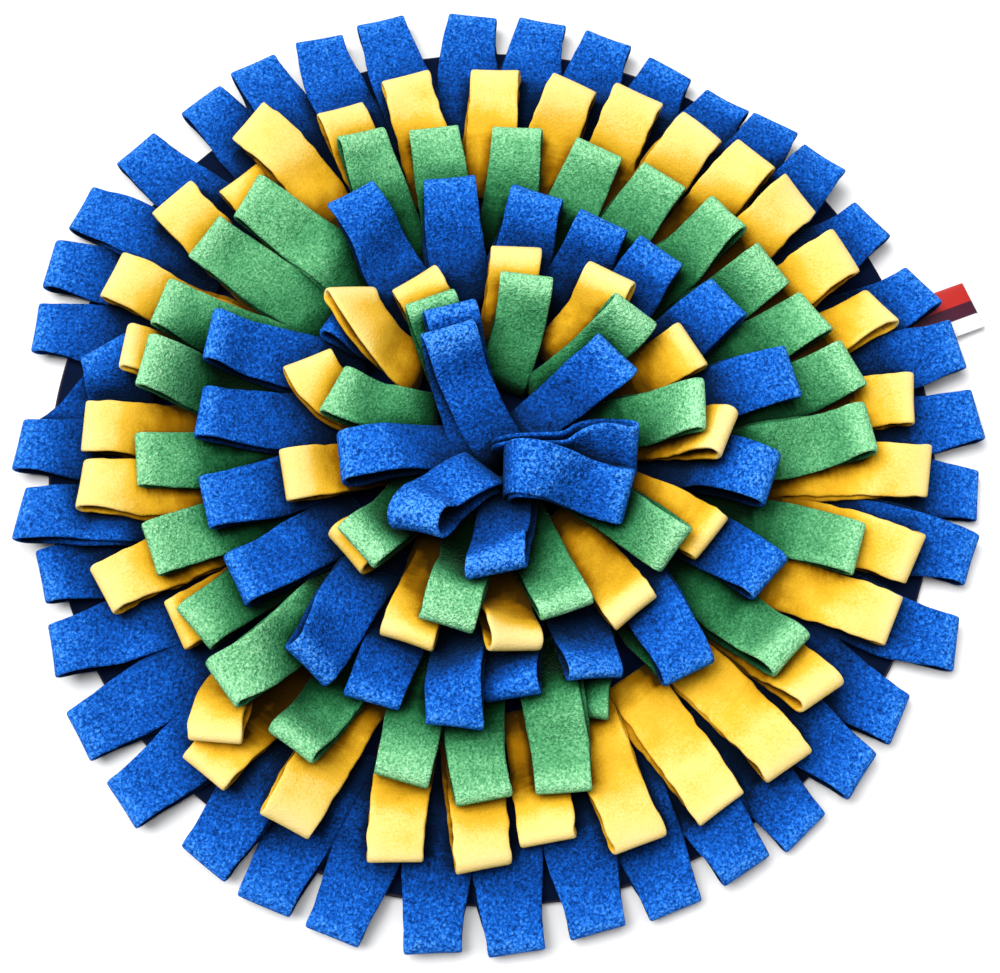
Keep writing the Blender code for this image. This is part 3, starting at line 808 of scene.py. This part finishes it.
MIDDLE_YELLOW = Ring(
    root_radius=47.0, own_from=0.25, first_root=5.0, crest=17.0, width=24.5,
    spread=0.0, edge_wander=0.3,
    odd={
        3: Odd(gap=6.0),
        11: Odd(gap=5.0, bulb=60.0, roll=-15.0, flank=0.0, cup=-1.0),
    }, loops=loops(
        (4, 94, -3), (34, 97, -10), (63, 105, -8), (92, 109, 14), (115, 113, 12), (141, 109, 5),
        (173, 106, -10), (199, 107, -3), (226, 92, 8), (255, 100, 5), (290, 95, 52), (312, 98, 33),
        (331, 87, 1)))
ring_pieces.append(ring_of_loops(
    "middle_yellow_loops", MIDDLE_YELLOW, seed=5, finish=yellow_fleece,
    node="row_5_yellow"))


# ---------------------------------------------------------------- Row 6: inner green loops
# Nine strips of the green fleece, sewn as the sixth ring close to the middle. They stand up more
# steeply than the rings outside them.

INNER_GREEN = Ring(
    root_radius=28.0, own_from=0.2, first_root=5.0, crest=20.0, width=25.0,
    spread=-0.04, edge_wander=0.12,
    odd={
        2: Odd(gap=3.0, roll=-18.0, flank=0.0),
    }, loops=loops(
        (9, 79, -8), (46, 88, -12), (84, 97, 1), (122, 101, 2), (157, 94, 0), (191, 94, 12),
        (224, 86, 2), (282, 79, 10), (332, 73, 12)))
ring_pieces.append(ring_of_loops(
    "inner_green_loops", INNER_GREEN, seed=6, finish=green_fleece,
    node="row_6_green"))


# ---------------------------------------------------------------- Row 7: centre tuft
# Eight strips of the blue fleece, gathered round a hollow at the middle. They stand up from their
# seam and fall outwards, and several stand open or lie on edge.

CENTRE_BLUE = Ring(
    root_radius=15.0, own_from=0.02, first_root=320.0, crest=24.0, width=25.5,
    spread=-0.04, edge_wander=0.12, late=(4, 6, 1),
    odd={
        0: Odd(skew=0.0),
        1: Odd(gap=5.0, bulb=25.0, skew=-9.0, cup=-1.0),
        2: Odd(skew=1.0),
        3: Odd(gap=5.0, bulb=40.0, roll=-28.0, root_roll=-75.0, skew=0.0),
        4: Odd(skew=2.0, cup=-1.0),
        5: Odd(gap=7.0, bulb=30.0, roll=-20.0, skew=-5.0, slant=21.0),
        6: Odd(gap=12.0, bulb=34.0, roll=-35.0, root_roll=-10.0, skew=0.0, cup=-1.5),
        7: Odd(gap=8.0, bulb=28.0, roll=-12.0, skew=0.0),
    }, loops=loops(
        (337, 63, 9, 225, 4), (331, 51, 10, 155, 11), (55, 69, -10, 114, 10), (95, 66, -8, 132, 12),
        (116, 70, -12, 160, 23), (177, 74, 13, 169, 22), (209, 67, -3, 190, 24), (254, 72, 3, 231, 14)))
ring_pieces.append(ring_of_loops(
    "centre_blue_tuft", CENTRE_BLUE, seed=7, finish=blue_fleece,
    node="row_7_blue"))


# ---------------------------------------------------------------- Painted shade between loops
# With every loop in place, shade is painted into the fleece between them, darkest where most rises round it.
# Each sheet gets its final mesh and a value at each point: how much of its surroundings rises above it.

LOOK_AROUND = 12                # directions in which each point looks round
LOOK_OUT = (2.5, 5.0, 9.0, 14.0, 24.0, 40.0)
SHADE_SLACK = 1.0                 # a rise up to this height paints no shade
SHADE_THRESHOLD = 0.08             # painted shade that still counts as none


def settle_and_paint_shade(made, relief):
    """Apply a sheet's modifiers and paint in shade: mark how much each point's surroundings rise above it,
    from 0 to 1.
    """
    graph = bpy.context.evaluated_depsgraph_get()
    mesh = bpy.data.meshes.new_from_object(made.evaluated_get(graph))
    made.modifiers.clear()
    made.data = mesh
    points = np.empty(3 * len(mesh.vertices))
    mesh.vertices.foreach_get("co", points)
    points = points.reshape(-1, 3) / MM
    shelter = np.zeros(len(points))
    for bearing in np.arange(0.0, 360.0, 360.0 / LOOK_AROUND):
        horizon = np.zeros(len(points))
        for reach in LOOK_OUT:
            there = relief.height[relief.index(points + compass(bearing) * reach)]
            rise = np.clip(there - points[:, 2] - SHADE_SLACK, 0.0, None)
            horizon = np.maximum(horizon, rise / np.hypot(rise, reach))
        shelter += horizon / LOOK_AROUND
    # Stored on the mesh as painted shade, which the fleece darkens by.
    marks = mesh.attributes.new("shelter", "FLOAT", "POINT")
    marks.data.foreach_set("value", np.clip(shelter - SHADE_THRESHOLD, 0.0, 1.0).astype(np.float32))


for ring_piece in ring_pieces:
    settle_and_paint_shade(ring_piece, laid)
